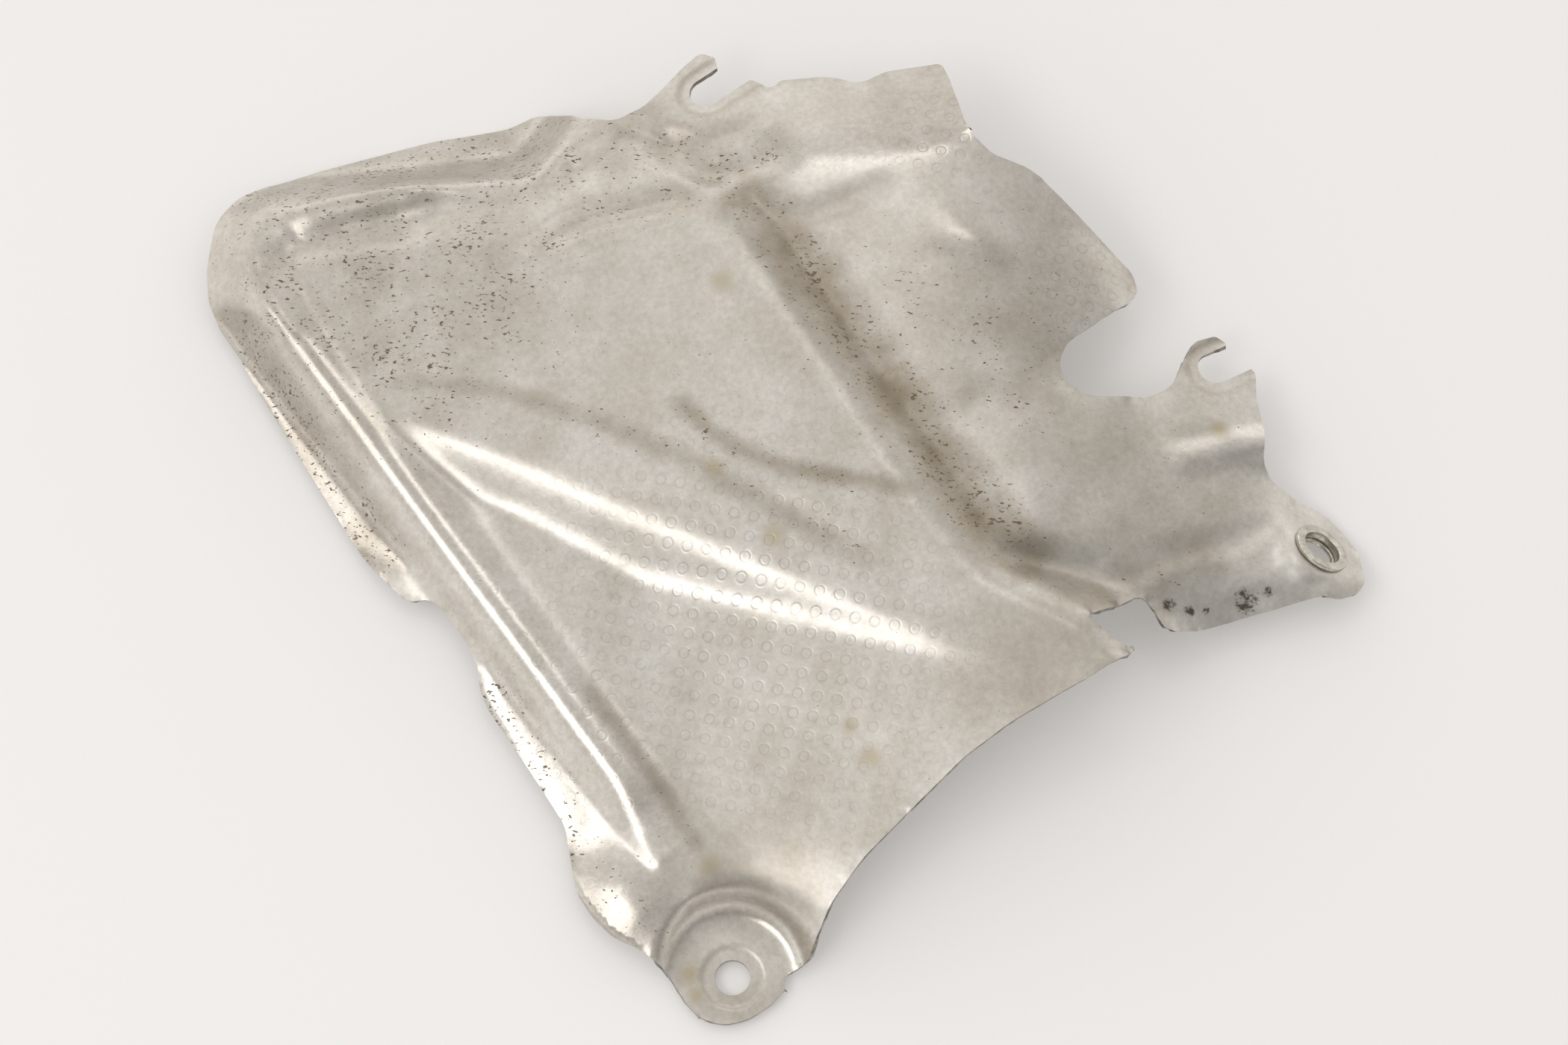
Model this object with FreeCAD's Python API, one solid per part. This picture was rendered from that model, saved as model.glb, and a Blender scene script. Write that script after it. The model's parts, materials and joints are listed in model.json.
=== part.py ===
# Heat shield for an engine bay: one pressed aluminium sheet with a riveted steel bush.
# Units are millimetres. The origin is the centre of the bolt hole on the coined face of its flat seat,
# Z runs up along the bolt, X runs to the bush tab and Y runs to the hook at the back.

import os
from math import cos, hypot, sqrt

import FreeCAD
import Part
from FreeCAD import Vector

# Sheet
SHEET = 1.0

# Block of space that the form is cut from
BLOCK_X = (-140.0, 160.0)
BLOCK_Y = (-40.0, 225.0)
BLOCK_LOW = -900.0

# Reach of the cutting tools below and above the origin, and a small distance
CUT_LOW = -30.0
CUT_LENGTH = 80.0
NEAR = 0.01

# Bolt hole with its coined ring and flat seat
BOLT_HOLE = 7.0
COIN_RING = 12.4
COIN_DEPTH = 0.15
SEAT_FLAT = 9.0
SEAT_RISE = 0.85

# Hook slots: round end, width, and the way they open
SLOT_WIDTH = 7.0
BACK_SLOT = (-6.0, 183.4)
BACK_SLOT_WAY = (0.81, 0.585)
SIDE_SLOT = (98.0, 124.9)
SIDE_SLOT_WAY = (0.87, 0.49)

# Bush and its tab, which leans to the right and to the back
BUSH_AT = (118.0, 86.0, 6.5)
TAB_SLOPE = (-0.62, -0.58)
TAB_FLAT = 7.6
TAB_FOOT = 12.6
TAB_HIGH = 14.0
TAB_GUARD = ((BUSH_AT[0], BUSH_AT[1] + 11.0, BUSH_AT[2] - 4.5), (0.0, 0.9))
BUSH_BORE = 8.0
BUSH_NECK = 9.6
BUSH_FLANGE = 12.0
FLANGE_THICK = 1.0
RING_BORE = 6.8
RING_FLANGE = 12.0
RING_THICK = 0.9
RIM_CHAMFER = 0.3
CLAMP = 0.06

# Bead, skirt and lip along the left edge and the back rim, which turn one wide round corner
BEAD_LEFT = ((-82.0, 119.0), (-18.0, 34.0))
BEAD_BACK = ((-30.0, 166.0), (-83.0, 159.5))
BEAD_END = ((-38.0, 169.0), (-44.0, 161.0))
CORNER_TURNS = (0.75, 0.5, 0.25)
CORNER_BLEND = 32.0
SKIRT_TOP = 13.8
SKIRT_RATE = 1.3
LIP_AT = 7.0
LIP_HIGH = 5.2
LIP_RATE = 0.25
LIP_FALL_BACK = 0.02
BEAD_INNER = 0.4
BEAD_OUTER = 0.45
BEAD_LEFT_HIGH = (13.0, 10.6)
BEAD_BACK_HIGH = (16.7, 10.7)
BEAD_STOP = ((-27.0, 20.0), (-4.0, 38.0))
BEAD_STOP_HIGH = 7.0
BEAD_END_HIGH = 15.5
BEAD_STOP_RATE = 0.35

# Crease between the raised left half and the lower right half
CREASE = ((-1.6, 154.0), (50.0, 76.0), (70.0, 67.5), (76.5, 58.0))
CREASE_HIGH = 24.3
CREASE_RATE = 0.95
CREASE_BEVEL_HIGH = 24.0
CREASE_BEVEL_RATE = 0.4
PANEL_HIGH = 20.0
PANEL_RATE = 0.06
PANEL_GUARD_RATE = 0.6
RIDGE = ((11.7, 165.0), (46.0, 171.5))
RIDGE_HIGH = 22.0
RIDGE_RATE = 0.35

# Leaning faces of the form: a point on the face, and its rise along X and Y
UPPER_DECK = ((0.0, 150.0, 23.5), (0.14, 0.06))
FRONT_DECK = ((0.0, 80.0, 17.6), (0.16, 0.166))
BACK_DECK = ((0.0, 150.0, 23.4), (0.15, -0.30))
LEFT_FLOOR = ((0.0, 0.0, 7.0), (0.05, 0.05))
RIGHT_FLOOR = ((0.0, 0.0, 6.0), (0.20, 0.10))
SCOOP_WALL = ((-37.0, 89.5, 9.7), (0.36, 0.60))
SCOOP_BACK = ((-37.0, 89.5, 10.4), (-0.05, -0.55))
FAR_PANEL = ((60.0, 140.0, 19.0), (-0.30, 0.03))
FAR_BEVEL = ((50.0, 140.0, 20.8), (-0.12, 0.03))
FAR_GUARD = ((60.0, 118.0, 16.0), (0.0, -0.5))
BACK_EAR = ((0.0, 160.0, 20.5), (0.22, -0.25))
ARM_FACE = ((87.8, 87.5, 14.0), (-0.25, 0.0))
HOOK_FACE = ((95.6, 102.0, 12.5), (-0.20, -0.22))
HOOK_INNER = ((86.0, 102.0, 14.42), (-0.80, -0.22))
APRON_FACE = ((92.5, 69.9, 4.0), (-0.10, 0.95))

# Roof-shaped beads: start and end of the crest with its height, and the fall to both sides
RIDGE_BEAD = ((12.0, 167.2, 21.0), (50.0, 172.8, 22.4), 0.5)
ARM_BEAD = ((88.0, 75.5, 12.0), (109.0, 81.0, 10.2), 0.7)
HOOK_BEAD = ((84.0, 98.5, 15.0), (110.0, 107.0, 9.6), 0.45)


# Outline of the stretch that belongs to a fixing, placed from that fixing
def around(at, corners):
    return [(at[0] + x, at[1] + y, radius) for x, y, radius in corners]


# Outline in plan, clockwise from the left corner: x, y and corner radius
LEFT_CORNER = [(-109.0, 147.0, 12), (-107.5, 157.5, 8), (-103.5, 164.0, 8), (-97.0, 167.0, 6)]
BACK_RIM = [(-86.5, 171.0, 30), (-64.0, 178.0, 40), (-47.5, 181.0, 15), (-41.0, 184.0, 5),
            (-32.0, 178.5, 5), (-24.8, 177.2, 5)]
BACK_HOOK = around(BACK_SLOT, [(-13.0, -2.9, 8), (-5.0, 6.6, 10), (-1.5, 9.9, 1.8), (1.7, 8.6, 1.3),
                               (2.1, 5.9, 0.8), (7.2, 2.2, 0.8), (9.6, 2.2, 3)])
BACK_EDGE = [(7.5, 183.0, 2), (9.5, 185.2, 1.5), (19.8, 186.0, 20), (25.5, 183.7, 5),
             (31.2, 186.8, 6), (42.6, 188.6, 1.5), (44.0, 185.0, 10)]
RIGHT_PANEL = [(47.7, 171.0, 12), (52.5, 166.2, 6), (59.7, 163.8, 8), (63.0, 161.6, 8),
               (81.7, 144.5, 4), (82.6, 140.6, 3), (80.5, 137.3, 4)]
RIGHT_NOTCH = [(67.5, 127.2, 6), (65.4, 122.8, 6), (67.0, 118.0, 5), (71.6, 115.3, 6),
               (80.0, 115.6, 5), (84.0, 116.4, 6)]
SIDE_HOOK = around(SIDE_SLOT, [(-9.0, -4.9, 6), (-6.4, 1.1, 5), (-3.7, 6.0, 3), (0.6, 7.4, 1.6),
                               (2.7, 6.1, 0.8), (2.2, 4.0, 0.6), (7.4, 0.5, 0.5), (8.4, -0.7, 0.8)])
BUSH_TAB = around(BUSH_AT, [(-11.7, 32.0, 10), (-10.6, 25.0, 8), (-11.1, 18.0, 6), (-9.1, 14.7, 6),
                            (-4.4, 11.9, 10), (2.2, 9.2, 8), (5.8, 5.6, 6), (8.4, 1.2, 6),
                            (9.2, -6.0, 6), (7.4, -8.6, 2.5), (3.7, -10.2, 4)])
ARM_APRON = [(118.1, 76.2, 4), (113.7, 75.0, 10), (104.8, 72.6, 20), (98.3, 70.5, 15),
             (93.3, 69.0, 8), (88.1, 68.0, 3), (85.6, 68.4, 2), (83.8, 71.6, 2.5),
             (81.8, 73.8, 1.5), (80.0, 73.8, 2), (75.8, 70.7, 5)]
SLIT_AND_TIP = [(69.7, 67.4, 0.4), (72.1, 64.5, 4), (74.5, 62.4, 3), (77.0, 61.4, 1.2),
                (79.0, 61.8, 0.4), (77.8, 59.5, 1)]
FRONT_EDGE = [(69.5, 54.4, 40), (54.3, 46.2, 40), (45.2, 39.8, 30), (34.5, 29.7, 40),
              (25.4, 20.9, 30), (19.3, 12.8, 15), (16.5, 6.8, 8), (14.7, 2.6, 3)]
BOLT_TAB = [(10.9, 0.6, 1), (10.2, -0.8, 0.5), (10.3, -2.4, 0.5), (7.8, -5.3, 4),
            (3.2, -8.3, 8), (-1.4, -9.5, 8), (-6.0, -8.3, 8), (-9.1, -5.1, 8),
            (-11.7, -0.9, 6), (-13.7, 1.7, 5)]
LEFT_LOBE = [(-17.6, 4.7, 6), (-23.7, 7.8, 8), (-27.7, 11.8, 8), (-30.8, 16.6, 8),
             (-31.7, 21.2, 8), (-33.3, 30.2, 8)]
LEFT_EDGE = [(-38.1, 37.7, 20), (-44.5, 47.4, 30), (-49.0, 53.8, 8), (-50.7, 57.8, 6),
             (-51.2, 62.6, 6), (-53.5, 67.3, 10), (-56.8, 72.2, 10), (-59.2, 75.2, 4),
             (-61.7, 76.6, 3), (-64.9, 76.3, 2), (-67.3, 77.7, 2), (-69.8, 80.2, 4),
             (-74.7, 85.3, 10), (-80.6, 94.5, 20), (-97.6, 121.5, 40), (-101.9, 129.1, 20),
             (-106.2, 135.1, 10), (-108.6, 140.9, 8)]


BUSH_AXIS = Vector(-TAB_SLOPE[0], -TAB_SLOPE[1], 1.0).normalize()
BUSH_LEAN = FreeCAD.Placement(Vector(*BUSH_AT), FreeCAD.Rotation(Vector(0, 0, 1), BUSH_AXIS))


# Each face of the form is a plane: height over the origin, rise along X and rise along Y.

def leaning(face):
    at, slope = face
    return (at[2] - slope[0] * at[0] - slope[1] * at[1], slope[0], slope[1])


# Distance to the right of a line in plan, which is itself a plane
def right_of(line):
    (x0, y0), (x1, y1) = line
    length = hypot(x1 - x0, y1 - y0)
    to_x = (y1 - y0) / length
    to_y = (x0 - x1) / length
    return (-to_x * x0 - to_y * y0, to_x, to_y)


def rising(high, rate, distance):
    return (high + rate * distance[0], rate * distance[1], rate * distance[2])


def mixed(a, share, b, extra):
    parts = [share * m + (1.0 - share) * n for m, n in zip(a, b)]
    return (parts[0] + extra, parts[1], parts[2])


# Plane through a line whose height changes from its start to its end
def through(line, highs, rate):
    (x0, y0), (x1, y1) = line
    length = hypot(x1 - x0, y1 - y0)
    climb = (highs[1] - highs[0]) / length
    along = ((x1 - x0) / length, (y1 - y0) / length)
    side = right_of(line)
    slope = (rate * side[1] + climb * along[0], rate * side[2] + climb * along[1])
    return leaning(((x0, y0, highs[0]), slope))


# Space below a plane, lowered square to the plane by the drop
def below(face, drop):
    high = face[0] - drop * sqrt(1.0 + face[1] ** 2 + face[2] ** 2)
    (x0, x1), (y0, y1) = BLOCK_X, BLOCK_Y
    plan = [(x0, y0), (x1, y0), (x1, y1), (x0, y1)]
    upper = [Vector(x, y, high + face[1] * x + face[2] * y) for x, y in plan]
    lower = [Vector(x, y, BLOCK_LOW) for x, y in plan]
    faces = [Part.Face(Part.makePolygon(ring + ring[:1])) for ring in (upper, lower)]
    for i in range(4):
        j = (i + 1) % 4
        ring = [lower[i], lower[j], upper[j], upper[i], lower[i]]
        faces.append(Part.Face(Part.makePolygon(ring)))
    return Part.makeSolid(Part.makeShell(faces))


def lowest(solids):
    result = solids[0]
    for solid in solids[1:]:
        result = result.common(solid)
    return result


def highest(solids):
    result = solids[0]
    for solid in solids[1:]:
        result = result.fuse(solid)
    return result.removeSplitter()


def roof(bead, drop):
    start, end, rate = bead
    line = (start[:2], end[:2])
    back = (end[:2], start[:2])
    highs = (start[2], end[2])
    return lowest([below(through(line, highs, -rate), drop), below(through(back, highs[::-1], -rate), drop),
                   below(square_end(start, end, rate), drop), below(square_end(end, start, rate), drop)])


# Face that ends a roof: it falls away behind the start of the crest
def square_end(start, end, rate):
    length = hypot(end[0] - start[0], end[1] - start[1])
    along = ((end[0] - start[0]) / length, (end[1] - start[1]) / length)
    return leaning((start, (rate * along[0], rate * along[1])))


# Left half: a raised deck, and a scoop that opens to the front edge
def left_half(drop):
    deck = lowest([below(leaning(face), drop) for face in (UPPER_DECK, FRONT_DECK, BACK_DECK, SCOOP_WALL)])
    floor = highest([below(leaning(LEFT_FLOOR), drop), below(leaning(RIGHT_FLOOR), drop)])
    floor = floor.common(below(leaning(SCOOP_BACK), drop))
    past = [right_of((CREASE[i + 1], CREASE[i])) for i in range(3)]
    falls = [below(rising(CREASE_HIGH, -CREASE_RATE, side), drop) for side in past]
    step = highest([falls[0], falls[1].common(falls[2])])
    bevel = below(rising(CREASE_BEVEL_HIGH, -CREASE_BEVEL_RATE, past[0]), drop)
    return lowest([highest([deck, floor]), highest([bevel, falls[1].common(falls[2])]), step])


# Right half: a lower panel behind the crease, its back flange, and the arm with the side hook
def right_half(drop):
    past = [right_of((CREASE[i + 1], CREASE[i])) for i in range(3)]
    guards = [below(rising(PANEL_HIGH, PANEL_GUARD_RATE, side), drop) for side in past]
    far = lowest([below(leaning(FAR_PANEL), drop), below(leaning(FAR_BEVEL), drop)])
    panel = lowest([below(rising(PANEL_HIGH, PANEL_RATE, past[0]), drop), guards[0],
                    highest([guards[1], guards[2]]),
                    highest([far, below(leaning(FAR_GUARD), drop)]),
                    below(rising(RIDGE_HIGH, RIDGE_RATE, right_of(RIDGE)), drop),
                    below(leaning(BACK_EAR), drop)])
    panel = highest([panel, roof(RIDGE_BEAD, drop)])
    hook = highest([below(leaning(HOOK_FACE), drop), below(leaning(HOOK_INNER), drop)])
    arm = lowest([below(leaning(ARM_FACE), drop), hook, below(leaning(APRON_FACE), drop)])
    arm = highest([arm, roof(ARM_BEAD, drop), roof(HOOK_BEAD, drop)])
    return panel.common(arm)


def lip_face(out, rate):
    face = rising(LIP_HIGH - rate * LIP_AT, rate, out)
    return (face[0], face[1], face[2] - LIP_FALL_BACK)


# Space below the whole form
def below_form(drop):
    body = highest([left_half(drop), right_half(drop)])
    left = right_of(BEAD_LEFT)
    back = right_of(BEAD_BACK)
    end = right_of(BEAD_END)

    # raised bead inside the edge
    outer = [below(through(BEAD_LEFT, BEAD_LEFT_HIGH, -BEAD_OUTER), drop),
             below(through(BEAD_BACK, BEAD_BACK_HIGH, -BEAD_OUTER), drop)]
    left_bead = lowest(outer + [below(through(BEAD_LEFT, BEAD_LEFT_HIGH, BEAD_INNER), drop),
                                below(rising(BEAD_STOP_HIGH, -BEAD_STOP_RATE, right_of(BEAD_STOP)), drop)])
    back_bead = lowest(outer + [below(through(BEAD_BACK, BEAD_BACK_HIGH, BEAD_INNER), drop),
                                below(rising(BEAD_END_HIGH, BEAD_STOP_RATE, end), drop)])
    body = highest([body, left_bead, back_bead])

    # faces round the corner lie between those of the left edge and those of the back rim
    turns = [left]
    for share in CORNER_TURNS:
        turns.append(mixed(left, share, back, CORNER_BLEND * share * (1.0 - share)))
    skirts = [below(rising(SKIRT_TOP, -SKIRT_RATE, out), drop) for out in turns]
    skirts.append(highest([below(rising(SKIRT_TOP, -SKIRT_RATE, out), drop) for out in (back, end)]))
    body = lowest([body] + skirts)
    outer = [below(lip_face(out, -LIP_RATE), drop) for out in turns]
    outer.append(highest([below(lip_face(out, -LIP_RATE), drop) for out in (back, end)]))
    inner = [below(lip_face(out, LIP_RATE), drop) for out in turns]
    inner.append(lowest([below(lip_face(out, LIP_RATE), drop) for out in (back, end)]))
    body = highest([body, highest(inner).common(lowest(outer))])

    # flat seat of the bolt inside a cone, and flat tab of the bush on a leaning cone
    seat_radius = SEAT_FLAT + drop * (sqrt(1.0 + SEAT_RISE ** 2) - 1.0) / SEAT_RISE
    seat_room = Part.makeCone(seat_radius, seat_radius + CREASE_HIGH / SEAT_RISE, CREASE_HIGH,
                              Vector(0, 0, COIN_DEPTH - drop))
    body = body.cut(seat_room)
    tab = highest([below(leaning((BUSH_AT, TAB_SLOPE)), drop), below(leaning(TAB_GUARD), drop)])
    flare = (TAB_FOOT - TAB_FLAT) / TAB_HIGH
    tab_radius = TAB_FLAT - drop * (sqrt(1.0 + flare ** 2) - flare)
    boss = Part.makeCone(tab_radius + flare * TAB_HIGH, tab_radius, TAB_HIGH, Vector(0, 0, -drop - TAB_HIGH))
    boss.Placement = BUSH_LEAN
    return highest([body.common(tab), boss])


def rounded_wire(corners):
    edges = []
    starts = []
    ends = []
    mids = []
    count = len(corners)
    for i in range(count):
        x, y, radius = corners[i]
        here = Vector(x, y, 0)
        before = Vector(corners[i - 1][0], corners[i - 1][1], 0) - here
        after = Vector(corners[(i + 1) % count][0], corners[(i + 1) % count][1], 0) - here
        room = 0.49 * min(before.Length, after.Length)
        before.normalize()
        after.normalize()
        half = before.getAngle(after) / 2.0
        reach = min(radius * cos(half) / sqrt(1.0 - cos(half) ** 2), room)
        bisector = before + after
        if reach < NEAR or bisector.Length < NEAR:
            starts.append(here)
            ends.append(here)
            mids.append(None)
            continue
        bisector.normalize()
        true_radius = reach * sqrt(1.0 - cos(half) ** 2) / cos(half)
        centre = here + bisector * hypot(reach, true_radius)
        starts.append(here + before * reach)
        ends.append(here + after * reach)
        mids.append(centre - bisector * true_radius)
    for i in range(count):
        if mids[i] is not None:
            edges.append(Part.Arc(starts[i], mids[i], ends[i]).toShape())
        nxt = starts[(i + 1) % count]
        if not nxt.isEqual(ends[i], NEAR * NEAR):
            edges.append(Part.LineSegment(ends[i], nxt).toShape())
    return Part.Wire(edges)


def slot_tool(at, way):
    across = Vector(-way[1], way[0], 0) * (SLOT_WIDTH / 2.0)
    along = Vector(way[0], way[1], 0) * (SLOT_WIDTH * 2.0)
    here = Vector(at[0], at[1], CUT_LOW)
    corners = [here + across, here + across + along, here - across + along, here - across, here + across]
    box = Part.Face(Part.makePolygon(corners)).extrude(Vector(0, 0, CUT_LENGTH))
    return box.fuse(Part.makeCylinder(SLOT_WIDTH / 2.0, CUT_LENGTH, here))


outline = (LEFT_CORNER + BACK_RIM + BACK_HOOK + BACK_EDGE + RIGHT_PANEL + RIGHT_NOTCH + SIDE_HOOK
           + BUSH_TAB + ARM_APRON + SLIT_AND_TIP + FRONT_EDGE + BOLT_TAB + LEFT_LOBE + LEFT_EDGE)
blank = Part.Face(rounded_wire(outline))
blank.translate(Vector(0, 0, CUT_LOW))
sheet = below_form(0.0).cut(below_form(SHEET))
shield = sheet.common(blank.extrude(Vector(0, 0, CUT_LENGTH)))
shield = shield.cut(Part.makeCylinder(BOLT_HOLE / 2.0, CUT_LENGTH, Vector(0, 0, CUT_LOW)))
shield = shield.cut(Part.makeCylinder(COIN_RING / 2.0, CUT_LENGTH))
shield = shield.cut(slot_tool(BACK_SLOT, BACK_SLOT_WAY))
shield = shield.cut(slot_tool(SIDE_SLOT, SIDE_SLOT_WAY))

# Bush: a flanged sleeve above the tab and a ring below it, clamped together through the sheet
grip_top = -CLAMP
grip_bottom = CLAMP - SHEET

sleeve_top = grip_top + FLANGE_THICK
flange = Part.makeCylinder(BUSH_FLANGE / 2.0, FLANGE_THICK, Vector(0, 0, grip_top))
rims = [edge for edge in flange.Edges if edge.Closed and edge.BoundBox.ZMin > sleeve_top - NEAR]
flange = flange.makeChamfer(RIM_CHAMFER, rims)
neck = Part.makeCylinder(BUSH_NECK / 2.0, grip_top - grip_bottom, Vector(0, 0, grip_bottom))
sleeve_room = flange.fuse(neck).removeSplitter()
sleeve = sleeve_room.cut(Part.makeCylinder(BUSH_BORE / 2.0, CUT_LENGTH, Vector(0, 0, CUT_LOW))).Solids[0]

ring_bottom = grip_bottom - RING_THICK
ring_room = Part.makeCylinder(RING_FLANGE / 2.0, RING_THICK, Vector(0, 0, ring_bottom))
rims = [edge for edge in ring_room.Edges if edge.Closed and edge.BoundBox.ZMax < ring_bottom + NEAR]
ring_room = ring_room.makeChamfer(RIM_CHAMFER, rims)
ring = ring_room.cut(Part.makeCylinder(RING_BORE / 2.0, CUT_LENGTH, Vector(0, 0, CUT_LOW))).Solids[0]

for piece in (sleeve, ring, sleeve_room, ring_room):
    piece.Placement = BUSH_LEAN
shield = shield.cut(sleeve_room).cut(ring_room).Solids[0]

os.makedirs("parts", exist_ok=True)
shield.exportStep("parts/shield_sheet.step")
sleeve.exportStep("parts/bush_sleeve.step")
ring.exportStep("parts/bush_back_ring.step")
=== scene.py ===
import json
from math import cos, pi, radians, sin

import bmesh
import bpy
import numpy as np
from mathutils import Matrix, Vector, noise
from mathutils.bvhtree import BVHTree
from mathutils.geometry import delaunay_2d_cdt
from mathutils.kdtree import KDTree


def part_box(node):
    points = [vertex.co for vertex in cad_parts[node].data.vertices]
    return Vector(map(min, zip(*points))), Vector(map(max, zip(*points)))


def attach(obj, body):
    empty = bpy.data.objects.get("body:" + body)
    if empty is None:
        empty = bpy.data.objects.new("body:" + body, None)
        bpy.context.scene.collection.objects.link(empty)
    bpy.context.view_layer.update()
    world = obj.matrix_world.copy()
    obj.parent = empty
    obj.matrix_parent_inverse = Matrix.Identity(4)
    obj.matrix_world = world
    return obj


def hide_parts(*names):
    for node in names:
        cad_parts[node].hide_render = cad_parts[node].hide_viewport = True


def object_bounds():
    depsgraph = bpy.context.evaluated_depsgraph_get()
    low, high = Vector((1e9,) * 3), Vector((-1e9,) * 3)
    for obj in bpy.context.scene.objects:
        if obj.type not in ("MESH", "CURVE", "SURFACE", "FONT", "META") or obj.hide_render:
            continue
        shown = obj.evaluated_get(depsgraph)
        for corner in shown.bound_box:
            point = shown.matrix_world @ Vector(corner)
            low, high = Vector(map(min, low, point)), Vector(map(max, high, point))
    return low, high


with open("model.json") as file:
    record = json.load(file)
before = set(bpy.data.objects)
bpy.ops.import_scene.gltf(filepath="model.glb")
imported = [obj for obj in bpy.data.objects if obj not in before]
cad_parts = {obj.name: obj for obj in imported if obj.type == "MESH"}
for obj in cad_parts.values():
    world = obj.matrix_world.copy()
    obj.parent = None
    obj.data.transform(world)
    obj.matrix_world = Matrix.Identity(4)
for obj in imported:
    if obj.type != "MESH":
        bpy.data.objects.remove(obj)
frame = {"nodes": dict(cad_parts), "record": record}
cad_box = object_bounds()

# Camera: above the shield and a little in front of it, square to its front, with a long lens.
photo_width = 2100.0
photo_focal = 5402.0
sensor = 36.0
camera_at = (0.0101, -0.1595, 0.7799)
camera_tilt = radians(18.0)
camera_data = bpy.data.cameras.new("camera")
camera_data.sensor_fit = "HORIZONTAL"
camera_data.sensor_width = sensor
camera_data.lens = photo_focal / photo_width * sensor
camera = bpy.data.objects.new("camera", camera_data)
camera.location = camera_at
camera.rotation_euler = (camera_tilt, 0.0, 0.0)
bpy.context.scene.collection.objects.link(camera)
bpy.context.scene.camera = camera

# Pressed sheet: one blank of embossed aluminium, formed between dies and trimmed at its edge.
# Its mesh takes the outline and the height of the CAD solid on a fine lattice that follows the
# rows of dimples. The folds are rounded as a die rounds them, and small pressed lines are added.
mm = 0.001
sheet_node = frame["nodes"]["shield_sheet"]
solid = bmesh.new()
solid.from_mesh(sheet_node.data)
bmesh.ops.remove_doubles(solid, verts=solid.verts, dist=1e-6)
solid.normal_update()
mounts = {mount["name"]: mount for mount in frame["record"]["mounts"]}
bush_at = np.array(mounts["bush_bore"]["pos_m"]) / mm
bush_axis = np.array(mounts["bush_bore"]["axis"])


def from_bush_axis(points):
    away = points - bush_at
    return np.linalg.norm(away - np.outer(away @ bush_axis, bush_axis), axis=1)


# Trimmed edge: where the upper face meets an upright wall. The small wall of the coined ring and
# the hole for the bush are passed over here and made below. Lengths of the sheet are in mm.
step = 0.8
coin_radius = 6.2
coin_near = 0.3
bush_near = 6.5
wall_lean = 0.05
top_lean = 0.12
rim_links = {}
for edge in solid.edges:
    walls = [face for face in edge.link_faces if abs(face.normal.z) < wall_lean]
    tops = [face for face in edge.link_faces if face.normal.z > top_lean]
    if len(walls) != 1 or len(tops) != 1:
        continue
    half_way = np.array((edge.verts[0].co + edge.verts[1].co) / 2.0) / mm
    on_coin = abs(np.hypot(half_way[0], half_way[1]) - coin_radius) < coin_near
    if on_coin or from_bush_axis(half_way[None])[0] < bush_near:
        continue
    for a, b in (edge.verts, reversed(edge.verts)):
        rim_links.setdefault(a.index, []).append(b.index)
solid.verts.ensure_lookup_table()
loops = []
left_over = set(rim_links)
while left_over:
    first = left_over.pop()
    loop = [first]
    while True:
        onward = [v for v in rim_links[loop[-1]] if v in left_over]
        if not onward:
            break
        left_over.discard(onward[0])
        loop.append(onward[0])
    loops.append([np.array(solid.verts[v].co) / mm for v in loop])
loops.sort(key=len, reverse=True)

# The hole for the bush is a round of the neck's size on the leaning tab.
neck = 4.8
neck_gap = 0.4
side = np.cross(bush_axis, (0.0, 0.0, 1.0))
side /= np.linalg.norm(side)
other = np.cross(bush_axis, side)
neck_turns = np.linspace(0, 2 * pi, 40, False)
loops.append([bush_at + neck * (cos(t) * side + sin(t) * other) for t in neck_turns])

# The coined ring round the bolt hole is a small sharp step between two rounds.
coin_half = 0.12
coin_high = 0.15
coin_turns = np.linspace(0, 2 * pi, 64, False)
for radius, rise in ((coin_radius - coin_half, 0.0), (coin_radius + coin_half, coin_high)):
    loops.append([np.array((radius * cos(t), radius * sin(t), rise)) for t in coin_turns])

rim = []
rim_edges = []
rim_loop = []
for number, loop in enumerate(loops):
    start = len(rim)
    for here, after in zip(loop, loop[1:] + loop[:1]):
        parts = max(1, int(round(np.linalg.norm(after - here) / step)))
        rim.extend(here + (after - here) * i / parts for i in range(parts))
    count = len(rim) - start
    rim_edges.extend((start + i, start + (i + 1) % count) for i in range(count))
    rim_loop.extend([number] * count)

# Lattice points on the upper face, in rows along the dimples, found by looking straight down
dimple_pitch = 5 * step
dimple_turn = radians(-12.7)
row_gap = sin(pi / 3.0)
row = np.array((cos(dimple_turn), sin(dimple_turn)))
column = np.array((-row[1], row[0]))
look_from = 0.1
rim_gap = 0.55 * step
tree = BVHTree.FromBMesh(solid)
rim_tree = KDTree(len(rim))
for i, point in enumerate(rim):
    rim_tree.insert((point[0], point[1], 0.0), i)
rim_tree.balance()
low, high = (np.array(corner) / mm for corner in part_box("shield_sheet"))
middle = (low + high) / 2.0
reach = int(np.linalg.norm(high - low) / 2.0 / step / row_gap)
inner = []
for i in range(-reach, reach + 1):
    for j in range(-reach, reach + 1):
        x, y = middle[:2] + step * ((i + j % 2 / 2.0) * row + j * row_gap * column)
        if not (low[0] < x < high[0] and low[1] < y < high[1]):
            continue
        if rim_tree.find((x, y, 0.0))[2] < rim_gap:
            continue
        hit = tree.ray_cast(Vector((x * mm, y * mm, look_from)), Vector((0.0, 0.0, -1.0)))[0]
        if hit is not None:
            inner.append((x, y, hit.z / mm))
inner = np.array(inner)
inner = inner[from_bush_axis(inner) > neck + neck_gap]
solid.free()

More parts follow.
